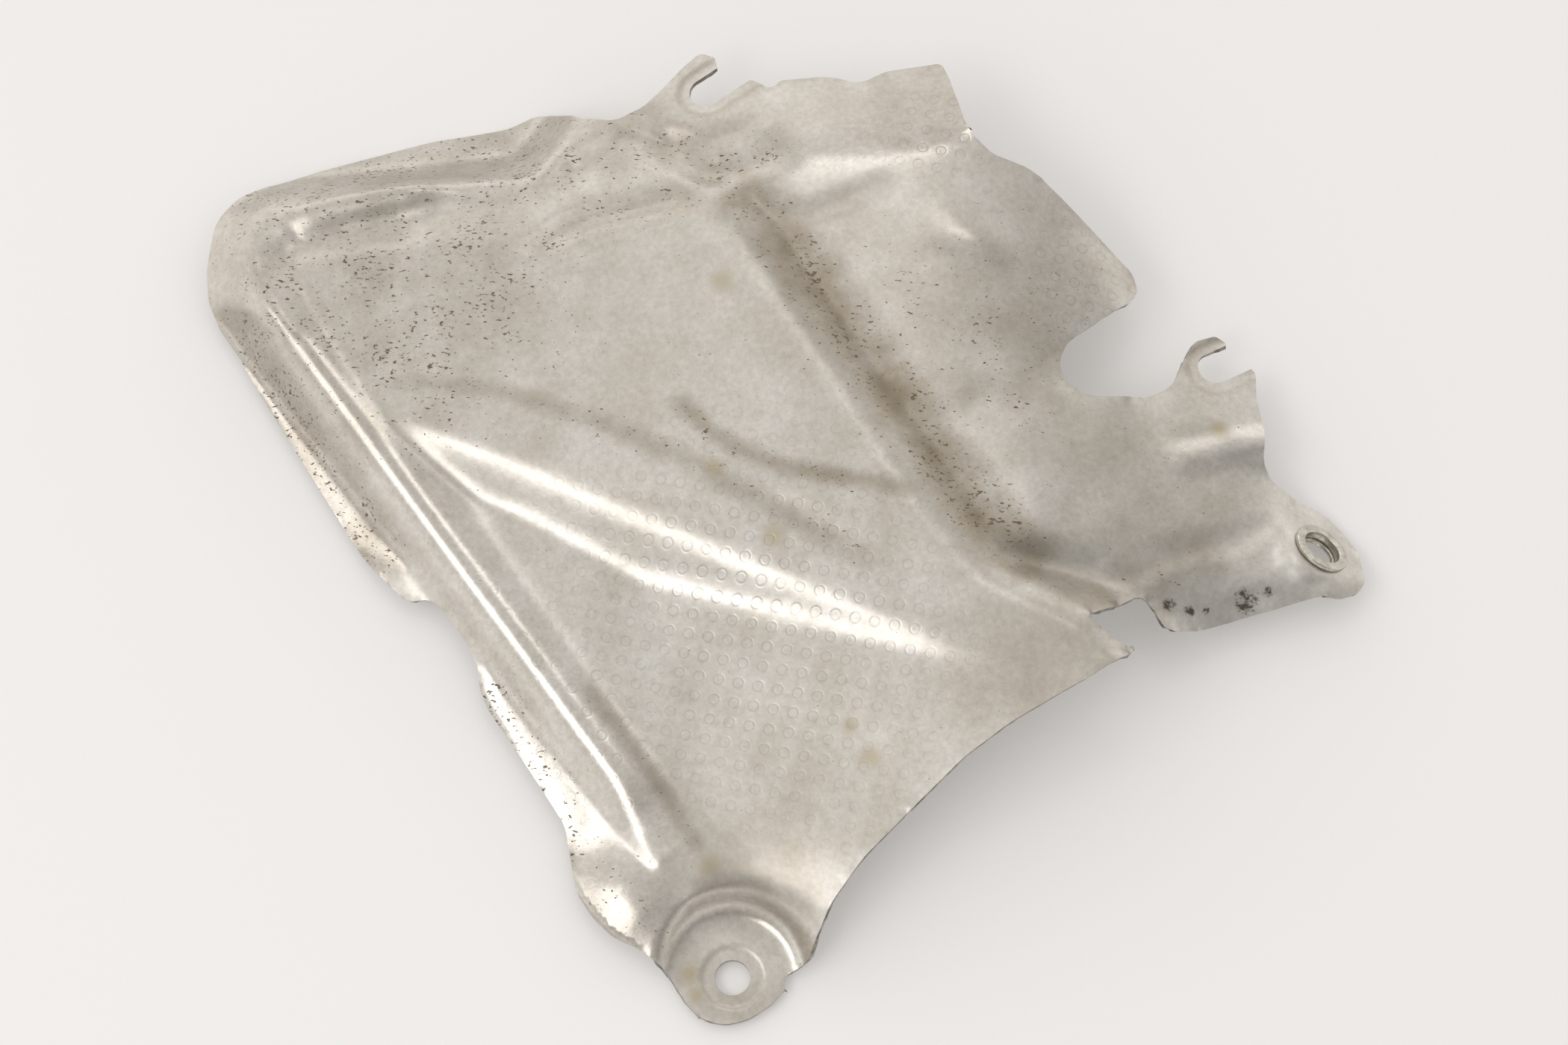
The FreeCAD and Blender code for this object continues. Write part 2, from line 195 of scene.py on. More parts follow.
# Triangles between the edge and the lattice points, with the two holes left open
inside_the_edges = 2
points = np.vstack([np.array(rim), inner])
flat_points = [Vector((p[0], p[1])) for p in points]
made = delaunay_2d_cdt(flat_points, rim_edges, [], inside_the_edges, 1e-5)
made_edges, made_faces, made_from = made[1:4]
source = np.array([ids[0] for ids in made_from])
x, y, z = points[source].T.copy()
pairs = np.array([tuple(edge) for edge in made_edges])
on_loop = np.array(rim_loop + [-1] * len(inner))[source]
outline_loop, bolt_loop, bush_loop = 0, 1, 2
faces = []
for face in made_faces:
    on = {on_loop[v] for v in face}
    if on != {bolt_loop} and on != {bush_loop}:
        faces.append(tuple(face))


# Height of a pressed line along a path: 1 on the path, 0 at half its width, run out at both ends
def pressed(path, half, run_out):
    best = np.full(len(x), 1e9)
    along = np.zeros(len(x))
    length = 0.0
    for (x0, y0), (x1, y1) in zip(path, path[1:]):
        size = np.hypot(x1 - x0, y1 - y0)
        t = np.clip(((x - x0) * (x1 - x0) + (y - y0) * (y1 - y0)) / size ** 2, 0.0, 1.0)
        away = np.hypot(x - x0 - t * (x1 - x0), y - y0 - t * (y1 - y0))
        nearer = away < best
        best = np.where(nearer, away, best)
        along = np.where(nearer, length + t * size, along)
        length += size
    end = np.clip(np.minimum(along, length - along) / run_out, 0.0, 1.0)
    across = np.minimum(best / half, 1.0)
    return (0.5 + 0.5 * np.cos(pi * across)) * (0.5 - 0.5 * np.cos(pi * end))


# Height of a round swelling: 1 at its middle, 0 at its radius
def dome(at, radius):
    t = np.clip(np.hypot(x - at[0], y - at[1]) / radius, 0.0, 1.0)
    return 0.5 + 0.5 * np.cos(pi * t)


# Mean of the neighbours of each point
def spread(values, links):
    count = np.bincount(links.ravel(), minlength=len(values))
    total = np.bincount(links[:, 0], values[links[:, 1]], len(values))
    total += np.bincount(links[:, 1], values[links[:, 0]], len(values))
    return total / np.maximum(count, 1)


# 0 under the flange of the bush and beside it, rising to 1 away from it
def clear_of_bush():
    flange_room = 9.0
    return np.clip((from_bush_axis(np.column_stack([x, y, z])) - flange_room) / 4.0, 0.0, 1.0)


# Wall of the bolt seat: a soft foot round the flat ring, a steep wall and a rounded top, given as
# the most height at each distance from the bolt
inside = on_loop < 0
from_bolt = np.hypot(x, y)
seat_from = (9.6, 11.0, 12.7, 13.5, 14.3, 16.5, 17.5, 18.7, 20.5, 22.5, 26.0, 28.0, 32.0)
seat_high = (0.15, 0.3, 0.65, 1.1, 2.1, 5.5, 6.7, 7.7, 8.9, 9.9, 11.1, 11.6, 60.0)
on_wall = (inside | (on_loop == outline_loop)) & (from_bolt > coin_radius + coin_near)
z = np.where(on_wall, np.minimum(z, np.interp(from_bolt, seat_from, seat_high)), z)

# Round the folds: heights move towards their neighbours, along the trimmed edge too. Soft bends take
# many turns, crests some, and the lips and the bolt seat stay crisp.
edge_pairs = pairs[(on_loop[pairs] == outline_loop).all(axis=1)]
far_fold = [(48, 168), (51, 150), (54, 134), (58, 118)]
floor_fold = [(8, 2), (2, 14), (-6, 38), (-16, 66)]
arm_ridge = [(88, 105), (100, 97), (110, 90)]
ridge = [(9, 167), (28, 169.5), (46, 172.5), (56, 174)]
lip_upper = [(-106, 142), (-98, 127), (-85, 106), (-74, 89), (-67, 80)]
lip_lower = [(-52, 63), (-45, 51), (-36, 38), (-32, 26), (-30, 18)]
crest_left = [(-90, 130), (-82, 119), (-50, 77), (-18, 34), (-10, 24)]
crease_top = [(-2, 155), (24, 115), (50, 76), (70, 67.5), (76, 59)]
soft = 1.6 * pressed(far_fold, 30.0, 6.0)
soft += 1.4 * dome((88.0, 84.0), 18.0)
soft += 1.6 * pressed(floor_fold, 34.0, 20.0)
soft += 1.2 * dome((67.0, 111.0), 22.0)
soft += 1.2 * pressed(arm_ridge, 12.0, 4.0)
soft = np.clip(soft, 0.0, 1.0)
soft *= np.clip(1.0 - 1.5 * pressed(crest_left, 20.0, 1.0), 0.0, 1.0)
soft *= np.clip((from_bolt - 17.0) / 8.0, 0.0, 1.0)
soft = np.maximum(soft, 0.22 * pressed(ridge, 11.0, 4.0))
soft *= clear_of_bush()
lips = np.maximum(pressed(lip_upper, 9.0, 2.0), pressed(lip_lower, 9.0, 2.0))
crisp = np.maximum(np.clip(1.6 * lips, 0.0, 1.0), np.clip((22.0 - from_bolt) / 4.0, 0.0, 1.0))
crest = np.maximum(pressed(crest_left, 6.0, 2.0), pressed(crease_top, 9.0, 2.0))
for turns, pull in ((16, 0.6 - 0.45 * crisp), (24, 0.6 * crest), (300, 0.6 * soft)):
    for turn in range(turns):
        mean = np.where(inside, spread(z, pairs), spread(z, edge_pairs))
        z = np.where(inside | (on_loop == outline_loop), z + pull * (mean - z), z)

# Pressed lines of the sheet: each has its path, its height or depth, half its width and its run-out
fold_short = [(-13, 115), (-9, 111), (-5, 107), (2, 102), (10, 98.5), (25, 95), (38, 92)]
fold_long = [(-73, 121), (-46, 117), (-28, 110), (-7, 99.5), (7, 92), (18, 85), (29, 78)]
fold_back = [(-45, 142), (-39, 148), (-35, 151), (-28, 154), (-15, 157), (-4, 157)]
fold_corner = [(-93, 138), (-94, 145), (-90, 149.5), (-82, 151.5), (-70, 153.5), (-58, 156)]
bead_corner = [(-96, 150), (-91, 155.5), (-82, 158.5), (-70, 161), (-56, 163)]
edge_upper = [(-109, 140), (-101, 127), (-84, 100), (-70, 80)]
edge_lower = [(-53, 62), (-44.5, 47.4), (-34, 31), (-31, 19)]
fold_ear = [(-27, 176), (-17, 173), (-8, 171.5), (0, 172), (6, 175)]
fold_pocket = [(-21, 175.5), (-12.5, 169), (-5, 164.5), (1.5, 164.5), (7.7, 167), (13.5, 170)]
fold_rim = [(-40, 179), (-34.5, 169.5), (-30.5, 165), (-30, 159)]
fold_left = [(-72, 168), (-61, 167), (-47.5, 166), (-34.5, 164.5), (-30, 159)]
fold_start = [(-12, 168.5), (-6, 163.5), (-1, 160), (5, 154), (9, 148)]
hook_fold = [(86, 101), (92, 103.5), (99, 106), (106, 108), (114, 109)]
fold_right = [(4, 153), (15.7, 152.6), (24.4, 156.3), (36, 161)]
fold_arm = [(72, 74.5), (80.4, 79), (85.8, 83), (91.7, 84.7), (101, 87), (110.6, 93)]
for path, rise, half, run_out in (
    (fold_short, -0.22, 3.5, 10.0),
    (fold_long, -0.2, 4.5, 12.0),
    (fold_back, -1.2, 5.0, 12.0),
    (fold_corner, -0.9, 6.0, 14.0),
    (bead_corner, 2.0, 6.5, 12.0),
    (edge_upper, -0.9, 7.0, 12.0),
    (edge_lower, -0.9, 7.0, 10.0),
    (fold_ear, -0.8, 5.0, 8.0),
    (fold_pocket, -2.0, 7.0, 10.0),
    (fold_rim, -0.5, 5.0, 8.0),
    (fold_left, -0.4, 6.0, 12.0),
    (fold_start, -0.6, 6.0, 8.0),
    (hook_fold, 1.3, 5.0, 6.0),
    (fold_right, -0.4, 5.0, 10.0),
    (fold_arm, -0.9, 4.5, 8.0),
):
    z += rise * pressed(path, half, run_out)

# Round swellings: the lobe left of the bolt seat, and a short bump on the far panel
z += 2.2 * dome((-21.0, 15.0), 14.0) * inside
bump_radius = 8.0
for at, rise in (((43.0, 150.0), 0.4), ((47.5, 147.8), 0.6), ((51.5, 145.8), 0.8)):
    z += rise * dome(at, bump_radius)

# Slow waves and finer ripples left by the press
wave_size = 22.0
wave_high = 0.1
ripple_size = 5.0
ripple_high = 0.02
for i in range(len(x)):
    wave = wave_high * noise.noise((x[i] / wave_size, y[i] / wave_size, 0.0))
    ripple = ripple_high * noise.noise((x[i] / ripple_size, y[i] / ripple_size, 7.0))
    z[i] += inside[i] * (wave + ripple)

# A shallow coined band along each hook slot
slot_half = 3.5
slot_run = 14.0
band = 2.3
band_deep = 0.25
band_step_shade = np.zeros(len(x))
for name in ("back_slot", "side_slot"):
    slot_x, slot_y = np.array(mounts[name]["pos_m"][:2]) / mm
    way_x, way_y = mounts[name]["axis"][:2]
    run = np.clip((x - slot_x) * way_x + (y - slot_y) * way_y, 0.0, slot_run)
    off = np.hypot(x - slot_x - run * way_x, y - slot_y - run * way_y) - slot_half
    z -= band_deep * np.clip((band - off) / 0.5, 0.0, 1.0)
    # a thin line at the outer edge of each band, painted darker later as shade of the band's step
    band_step_shade = np.maximum(band_step_shade, np.exp(-((off - band) / 0.8) ** 2))

# Dimples: shallow round dents in a square lattice, clearest on the floor and the wall of the scoop
dimple_deep = 0.042
dimple_radius = 1.0
row_at = ((x - middle[0]) * row[0] + (y - middle[1]) * row[1]) / dimple_pitch
column_at = ((x - middle[0]) * column[0] + (y - middle[1]) * column[1]) / dimple_pitch
dent_away = np.hypot(row_at - np.round(row_at), column_at - np.round(column_at)) * dimple_pitch
dimple_show = 0.15 + dome((5.0, 70.0), 70.0) + dome((70.0, 140.0), 24.0) + dome((40.0, 172.0), 18.0)
dimple_show = np.clip(dimple_show, 0.0, 1.0)
dimple_show *= np.clip((from_bolt - 22.0) / 10.0, 0.0, 1.0)
dimple_show *= clear_of_bush()
z -= inside * dimple_deep * dimple_show * np.exp(-(dent_away / dimple_radius) ** 2)


# How much of a deposit, of painted shade or of wear lies along some paths and in some round places, from 0
# upwards
def covered(start, lines, rounds, run_out):
    amount = start
    for path, half, level in lines:
        amount = np.maximum(amount, level * np.sqrt(pressed(path, half, run_out)))
    for at, radius, level in rounds:
        amount = np.maximum(amount, level * np.sqrt(dome(at, radius)))
    return amount


# Brown dust and painted shade: the colour turns brown and darker in the hollows, along the folds, the back
# rim and the crease and in broad patches on the decks, partly for the dust that lies there and partly as
# painted shade where shade falls; the thin line along each coined slot band is painted shade of its step
crease_foot = [(-2, 161), (11, 146), (27, 122), (43, 98), (55, 82), (63, 76)]
back_rim = [(-104, 150), (-98, 160), (-84, 166), (-62, 172), (-40, 176), (-24, 172), (-8, 166)]
arm_foot = [(56, 80), (64, 75), (74, 73), (84, 77), (100, 85)]
bead_foot = [(-30, 58), (-18, 42), (-8, 27), (-5, 21)]
dust_and_shade_lines = (
    (crease_foot, 10.0, 1.65), (back_rim, 16.0, 0.5), (fold_back, 6.0, 0.8), (fold_pocket, 6.0, 0.8),
    (fold_left, 5.0, 0.5), (fold_rim, 4.0, 0.4), (fold_long, 3.5, 0.85), (fold_short, 3.0, 1.2),
    (arm_foot, 7.0, 1.0), (fold_ear, 5.0, 0.6), (bead_foot, 2.5, 0.9), (fold_right, 5.0, 0.5),
    (lip_upper, 7.0, 0.75),
)
dust_and_shade_rounds = (
    ((-70.0, 140.0), 55.0, 0.5), ((52.0, 122.0), 48.0, 0.6), ((66.0, 122.0), 20.0, 0.75),
    ((62.0, 62.0), 26.0, 0.6), ((88.0, 95.0), 26.0, 0.3), ((-20.0, 10.0), 16.0, 0.3),
    ((12.0, 26.0), 26.0, 0.65), ((0.0, -3.0), 13.0, 0.45), ((36.0, 180.0), 20.0, 0.5),
)
grime = covered(0.9 * band_step_shade, dust_and_shade_lines, dust_and_shade_rounds, 6.0)

# Specks of road dirt, crowded on the left lips, along the back and at the foot of the crease
speck_lines = (
    (crease_foot, 12.0, 0.95), (back_rim, 18.0, 0.85), (fold_back, 9.0, 0.8), (fold_pocket, 9.0, 0.9),
    (lip_upper, 9.0, 0.92), (lip_lower, 8.0, 0.88), (fold_left, 9.0, 0.85), (fold_long, 6.0, 0.6),
    (fold_short, 5.0, 0.65), (arm_foot, 7.0, 0.5), (bead_foot, 4.0, 0.6),
)
speck_rounds = (
    ((-70.0, 140.0), 58.0, 0.92), ((50.0, 125.0), 48.0, 0.6), ((66.0, 120.0), 14.0, 0.6),
    ((88.0, 95.0), 26.0, 0.4), ((-22.0, 14.0), 18.0, 0.7),
)
peppered = covered(np.full(len(x), 0.12), speck_lines, speck_rounds, 6.0)

# Rubbed places, where the die slid over the sheet and left it bright
lip_foot = [(-96, 126), (-82, 106), (-66, 84)]
scoop_wall = [(-66, 112), (-47, 97), (-20, 86), (10, 74), (45, 60)]
apron = [(82, 74), (94, 72), (106, 76)]
rubbed_lines = (
    (crest_left, 7.0, 1.0), (lip_foot, 5.0, 0.8), (scoop_wall, 19.0, 0.4), (ridge, 10.0, 1.0),
    (hook_fold, 8.0, 1.0), (apron, 7.0, 0.9), (bead_corner, 9.0, 0.15), (lip_upper, 10.0, 1.0),
    (lip_lower, 10.0, 1.0),
)
rubbed_rounds = (
    ((46.5, 147.5), 9.0, 0.55), ((-22.0, 14.0), 16.0, 1.0), ((-5.0, 68.0), 38.0, 0.6),
    ((70.0, 142.0), 16.0, 0.5),
)
seat_rubbed = np.clip(1.0 - np.abs(from_bolt - 14.0) / 9.0, 0.0, 1.0) * (y > -3.0)
rubbed = covered(seat_rubbed, rubbed_lines, rubbed_rounds, 8.0)

# Dried drops, and soot on the apron
drops = (
    ((-2.5, 138.0), 4.0), ((-3.9, 99.2), 3.0), ((27.0, 40.6), 3.5), ((23.0, 47.0), 2.5), ((-8.4, 0.6), 4.0),
    ((-7.0, -3.5), 3.0), ((98.0, 110.5), 3.5), ((-4.5, 21.0), 3.5), ((8.0, 85.0), 4.0),
)
sooted = (
    ((86.7, 73.0), 4.2), ((90.8, 72.4), 3.4), ((94.5, 72.6), 2.6), ((102.5, 74.6), 7.5), ((107.0, 76.6), 3.2),
)
stain = np.maximum.reduce([dome(at, radius) for at, radius in drops])
soot = np.maximum.reduce([dome(at, radius) for at, radius in sooted])

sheet_mesh = bpy.data.meshes.new("pressed_sheet")
sheet_mesh.from_pydata(np.column_stack([x, y, z]) * mm, [], faces)
for name, values in (
    ("grime", grime),
    ("peppered", peppered),
    ("rubbed", rubbed),
    ("dimples", dimple_show),
    ("stain", stain),
    ("soot", soot),
):
    sheet_mesh.attributes.new(name, "FLOAT", "POINT").data.foreach_set("value", values.astype(np.float32))
sheet = bpy.data.objects.new("pressed_sheet", sheet_mesh)
bpy.context.scene.collection.objects.link(sheet)
bpy.ops.object.select_all(action="DESELECT")
bpy.context.view_layer.objects.active = sheet
sheet.select_set(True)
bpy.ops.object.mode_set(mode="EDIT")
bpy.ops.mesh.select_all(action="SELECT")
bpy.ops.mesh.normals_make_consistent(inside=False)
bpy.ops.object.mode_set(mode="OBJECT")
if sheet_mesh.polygons[len(sheet_mesh.polygons) // 2].normal.z < 0.0:
    sheet_mesh.flip_normals()
sheet_thick = 1.0 * mm
wall = sheet.modifiers.new("wall", "SOLIDIFY")
wall.thickness = sheet_thick
wall.offset = -1.0
wall.material_offset_rim = 1


def linear(hex_colour):
    parts = [int(hex_colour[i:i + 2], 16) / 255.0 for i in (1, 3, 5)]
    return [c / 12.92 if c <= 0.04045 else ((c + 0.055) / 1.055) ** 2.4 for c in parts] + [1.0]


def add(material, kind, links, **settings):
    node = material.node_tree.nodes.new(kind)
    for name, value in settings.items():
        if name in node.inputs:
            node.inputs[name].default_value = value
        else:
            setattr(node, name, value)
    for name, socket in links.items():
        material.node_tree.links.new(socket, node.inputs[name])
    return node


# Rolled aluminium, satin and dulled by heat: a warm grey metal with a cloudy oxide film, rows of embossed
# rings painted a little darker as shade of their relief, brown dust mixed with painted shade in the hollows,
# folds and crease, dark specks of road dirt, a few dried drops, and soot on the apron.
satin = bpy.data.materials.new("satin_rolled_aluminium")
satin.use_nodes = True
shader = satin.node_tree.nodes["Principled BSDF"]
place = add(satin, "ShaderNodeTexCoord", {}).outputs["Object"]
cloud_size = 14.0 * mm
clouds = add(satin, "ShaderNodeTexNoise", {"Vector": place},
             Scale=1.0 / cloud_size, Detail=6.0, Roughness=0.62)
film = add(satin, "ShaderNodeMapRange", {"Value": clouds.outputs["Fac"]},
           **{"From Min": 0.35, "From Max": 0.66})
bare = add(satin, "ShaderNodeMix", {"Factor": film.outputs["Result"]},
           data_type="RGBA", A=linear("#d2cdc6"), B=linear("#c4bdb3"))
mottle_size = 1.3 * mm
mottle = add(satin, "ShaderNodeTexNoise", {"Vector": place},
             Scale=1.0 / mottle_size, Detail=4.0, Roughness=0.7)
shade = add(satin, "ShaderNodeMapRange", {"Value": mottle.outputs["Fac"]},
            **{"From Min": 0.3, "From Max": 0.7, "To Min": 0.86, "To Max": 1.07})
tinted = add(satin, "ShaderNodeVectorMath",
             {"Vector": bare.outputs["Result"], "Scale": shade.outputs["Result"]}, operation="SCALE")

# rings of the embossing, in the lattice of the dents: painted a little darker as shade of their relief, and
# raised by the bump below
ring_radius = 1.0
ring_half = 0.35
cells = 1.0 / (dimple_pitch * mm)
shift = [-float(middle[:2] @ way) / dimple_pitch + 0.5 for way in (row, column)]
lattice = add(satin, "ShaderNodeMapping", {"Vector": place}, Rotation=(0.0, 0.0, -dimple_turn),
              Scale=[cells, cells, 0.0], Location=[shift[0], shift[1], 0.0])
cell = add(satin, "ShaderNodeVectorMath", {"Vector": lattice.outputs["Vector"]}, operation="FRACTION")
from_dent = add(satin, "ShaderNodeVectorMath", {0: cell.outputs["Vector"]}, operation="DISTANCE")
from_dent.inputs[1].default_value = (0.5, 0.5, 0.0)
off_ring = add(satin, "ShaderNodeMath", {0: from_dent.outputs["Value"]}, operation="SUBTRACT")
off_ring.inputs[1].default_value = ring_radius / dimple_pitch
near_ring = add(satin, "ShaderNodeMath", {0: off_ring.outputs["Value"]}, operation="ABSOLUTE")
ring = add(satin, "ShaderNodeMapRange", {"Value": near_ring.outputs["Value"]},
           interpolation_type="SMOOTHSTEP",
           **{"From Max": ring_half / dimple_pitch, "To Min": 1.0, "To Max": 0.0})
shown = add(satin, "ShaderNodeAttribute", {}, attribute_name="dimples")
emboss = add(satin, "ShaderNodeMath", {0: ring.outputs["Result"], 1: shown.outputs["Fac"]},
             operation="MULTIPLY")
# painted shade: the colour is multiplied darker on the rings
rings_painted_shade = add(satin, "ShaderNodeMix", {"Factor": emboss.outputs["Value"], "A": tinted.outputs["Vector"]},
             data_type="RGBA", blend_type="MULTIPLY", B=(0.87, 0.88, 0.89, 1.0))

# brown dust mixed with painted shade where the amount is high, and tan dried drops
dust_and_shade_amount = add(satin, "ShaderNodeAttribute", {}, attribute_name="grime")
dust_with_shade = add(satin, "ShaderNodeMath", {0: dust_and_shade_amount.outputs["Fac"], 1: clouds.outputs["Fac"]},
           operation="MULTIPLY")
dusted_and_shaded = add(satin, "ShaderNodeMix", {"Factor": dust_with_shade.outputs["Value"], "A": rings_painted_shade.outputs["Result"]},
             data_type="RGBA", B=linear("#8d8271"))
drop = add(satin, "ShaderNodeAttribute", {}, attribute_name="stain")
drop_edge = add(satin, "ShaderNodeMath", {0: drop.outputs["Fac"], 1: mottle.outputs["Fac"]},
                operation="MULTIPLY")
dropped = add(satin, "ShaderNodeMix", {"Factor": drop_edge.outputs["Value"], "A": dusted_and_shaded.outputs["Result"]},
              data_type="RGBA", B=linear("#a39266"))

# specks, longer than wide, crowded in the grime: they show where the noise passes a limit, and the
# limit is lower where they crowd
long_size = 1.25 * mm
wide_size = 0.65 * mm
patch_size = 9.0 * mm
speck_limit = 0.76
crowd_lowers = -0.33
speck_edge = 0.045
laid = add(satin, "ShaderNodeMapping", {"Vector": place}, Rotation=(0.0, 0.0, radians(12.0)),
           Scale=(1.0 / long_size, 1.0 / wide_size, 1.0 / wide_size))
specks = add(satin, "ShaderNodeTexNoise", {"Vector": laid.outputs["Vector"]},
             Scale=1.0, Detail=2.0, Roughness=0.6)
patches = add(satin, "ShaderNodeTexNoise", {"Vector": place}, Scale=1.0 / patch_size, Detail=3.0)
pepper = add(satin, "ShaderNodeAttribute", {}, attribute_name="peppered")
crowd = add(satin, "ShaderNodeMath", {0: pepper.outputs["Fac"], 1: patches.outputs["Fac"]},
            operation="MULTIPLY")
limit = add(satin, "ShaderNodeMath", {0: crowd.outputs["Value"]}, operation="MULTIPLY_ADD")
limit.inputs[1].default_value = crowd_lowers
limit.inputs[2].default_value = speck_limit
over = add(satin, "ShaderNodeMath", {0: specks.outputs["Fac"], 1: limit.outputs["Value"]},
           operation="SUBTRACT")
dirt = add(satin, "ShaderNodeMapRange", {"Value": over.outputs["Value"]}, **{"From Max": speck_edge})
specked = add(satin, "ShaderNodeMix", {"Factor": dirt.outputs["Result"], "A": dropped.outputs["Result"]},
              data_type="RGBA", B=linear("#675742"))

# soot, broken up by the mottling
black = add(satin, "ShaderNodeAttribute", {}, attribute_name="soot")
broken = add(satin, "ShaderNodeMath", {0: black.outputs["Fac"], 1: mottle.outputs["Fac"]},
             operation="MULTIPLY")
sooty = add(satin, "ShaderNodeMapRange", {"Value": broken.outputs["Value"]},
            **{"From Min": 0.36, "From Max": 0.5})
colour = add(satin, "ShaderNodeMix", {"Factor": sooty.outputs["Result"], "A": specked.outputs["Result"]},
             data_type="RGBA", B=linear("#4a423b"))
satin.node_tree.links.new(colour.outputs["Result"], shader.inputs["Base Color"])

# dirt and soot aren't metal, rubbed places are smoother, and the grain and the rings stand in relief
cover = add(satin, "ShaderNodeMath", {0: dirt.outputs["Result"], 1: sooty.outputs["Result"]},
            operation="MAXIMUM")
metal = add(satin, "ShaderNodeMapRange", {"Value": cover.outputs["Value"]},
            **{"To Min": 0.92, "To Max": 0.15})
satin.node_tree.links.new(metal.outputs["Result"], shader.inputs["Metallic"])
bright = add(satin, "ShaderNodeAttribute", {}, attribute_name="rubbed")
uneven = add(satin, "ShaderNodeMath", {0: clouds.outputs["Fac"]}, operation="MULTIPLY_ADD")
uneven.inputs[1].default_value = 0.7
uneven.inputs[2].default_value = 0.6
burnish = add(satin, "ShaderNodeMath", {0: bright.outputs["Fac"], 1: uneven.outputs["Value"]},
              operation="MULTIPLY")
rough = add(satin, "ShaderNodeMapRange", {"Value": burnish.outputs["Value"]},
            **{"To Min": 0.37, "To Max": 0.2})
satin.node_tree.links.new(rough.outputs["Result"], shader.inputs["Roughness"])
grain_high = 0.016 * mm
relief = add(satin, "ShaderNodeMath", {0: mottle.outputs["Fac"], 1: emboss.outputs["Value"]},
             operation="SUBTRACT")
grain = add(satin, "ShaderNodeBump", {"Height": relief.outputs["Value"]},
            Strength=1.0, Distance=grain_high)
satin.node_tree.links.new(grain.outputs["Normal"], shader.inputs["Normal"])
sheet.data.materials.append(satin)

# Trimmed edge of the same sheet: sheared, a little darker and rougher, with dirt along it.
sheared = bpy.data.materials.new("sheared_aluminium_edge")
sheared.use_nodes = True
shader = sheared.node_tree.nodes["Principled BSDF"]
place = add(sheared, "ShaderNodeTexCoord", {}).outputs["Object"]
bite_size = 2.5 * mm
bites = add(sheared, "ShaderNodeTexNoise", {"Vector": place}, Scale=1.0 / bite_size, Detail=4.0)
burr = add(sheared, "ShaderNodeMapRange", {"Value": bites.outputs["Fac"]},
           **{"From Min": 0.38, "From Max": 0.62})
tone = add(sheared, "ShaderNodeMix", {"Factor": burr.outputs["Result"]},
           data_type="RGBA", A=linear("#77716a"), B=linear("#b9b5ac"))
sheared.node_tree.links.new(tone.outputs["Result"], shader.inputs["Base Color"])
shader.inputs["Metallic"].default_value = 0.8
shader.inputs["Roughness"].default_value = 0.48
sheet.data.materials.append(sheared)
bpy.ops.object.modifier_apply(modifier=wall.name)
bpy.ops.object.shade_smooth_by_angle(angle=radians(50.0))
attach(sheet, "root")
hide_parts("shield_sheet")


# Bush sleeve: a turned steel sleeve, zinc plated, whose flange lies on the leaning tab. Its neck goes
# through the sheet, and its rims are rounded over.
def turned(name, profile, round_over, round_steps):
    sides = 96
    mesh = bpy.data.meshes.new(name)
    count = len(profile)
    corners = [(radius * mm, 0.0, along * mm) for radius, along in profile]
    mesh.from_pydata(corners, [(i, (i + 1) % count) for i in range(count)], [])
    piece = bpy.data.objects.new(name, mesh)
    bpy.context.scene.collection.objects.link(piece)
    bpy.ops.object.select_all(action="DESELECT")
    bpy.context.view_layer.objects.active = piece
    piece.select_set(True)
    bpy.ops.object.mode_set(mode="EDIT")
    bpy.ops.mesh.select_all(action="SELECT")
    bpy.ops.mesh.spin(steps=sides, angle=2 * pi, center=(0.0, 0.0, 0.0), axis=(0.0, 0.0, 1.0))
    bpy.ops.mesh.select_all(action="SELECT")
    bpy.ops.mesh.remove_doubles(threshold=1e-6)
    bpy.ops.mesh.normals_make_consistent(inside=False)
    bpy.ops.object.mode_set(mode="OBJECT")
    rounding = piece.modifiers.new("rounding", "BEVEL")
    rounding.width = round_over * mm
    rounding.segments = round_steps
    rounding.limit_method = "ANGLE"
    rounding.angle_limit = radians(40.0)
    bpy.ops.object.modifier_apply(modifier=rounding.name)
    piece.location = Vector(bush_at * mm)
    piece.rotation_euler = Vector(bush_axis).to_track_quat("Z", "Y").to_euler()
    bpy.ops.object.transform_apply(location=True, rotation=True, scale=True)
    bpy.ops.object.shade_smooth_by_angle(angle=radians(40.0))
    return piece


bore = 4.0
flange = 6.0
flange_top = 0.94
flange_foot = -0.06
neck_end = -0.94
sleeve_profile = [(bore, neck_end), (neck, neck_end), (neck, flange_foot),
                  (flange, flange_foot), (flange, flange_top), (bore, flange_top)]
sleeve = turned("flanged_sleeve", sleeve_profile, 0.32, 4)

# Bright zinc plating gone dull and a little yellow, with cloudy wear
zinc = bpy.data.materials.new("zinc_plated_steel")
zinc.use_nodes = True
shader = zinc.node_tree.nodes["Principled BSDF"]
place = add(zinc, "ShaderNodeTexCoord", {}).outputs["Object"]
wear_size = 1.8 * mm
worn = add(zinc, "ShaderNodeTexNoise", {"Vector": place}, Scale=1.0 / wear_size, Detail=5.0, Roughness=0.65)
fade = add(zinc, "ShaderNodeMapRange", {"Value": worn.outputs["Fac"]},
           **{"From Min": 0.36, "From Max": 0.64})
plate = add(zinc, "ShaderNodeMix", {"Factor": fade.outputs["Result"]},
            data_type="RGBA", A=linear("#d3cfc6"), B=linear("#aeaa9d"))
zinc.node_tree.links.new(plate.outputs["Result"], shader.inputs["Base Color"])
shader.inputs["Metallic"].default_value = 1.0
sheen = add(zinc, "ShaderNodeMapRange", {"Value": fade.outputs["Result"]},
            **{"To Min": 0.22, "To Max": 0.38})
zinc.node_tree.links.new(sheen.outputs["Result"], shader.inputs["Roughness"])
sleeve.data.materials.append(zinc)
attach(sleeve, "root")
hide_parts("bush_sleeve")

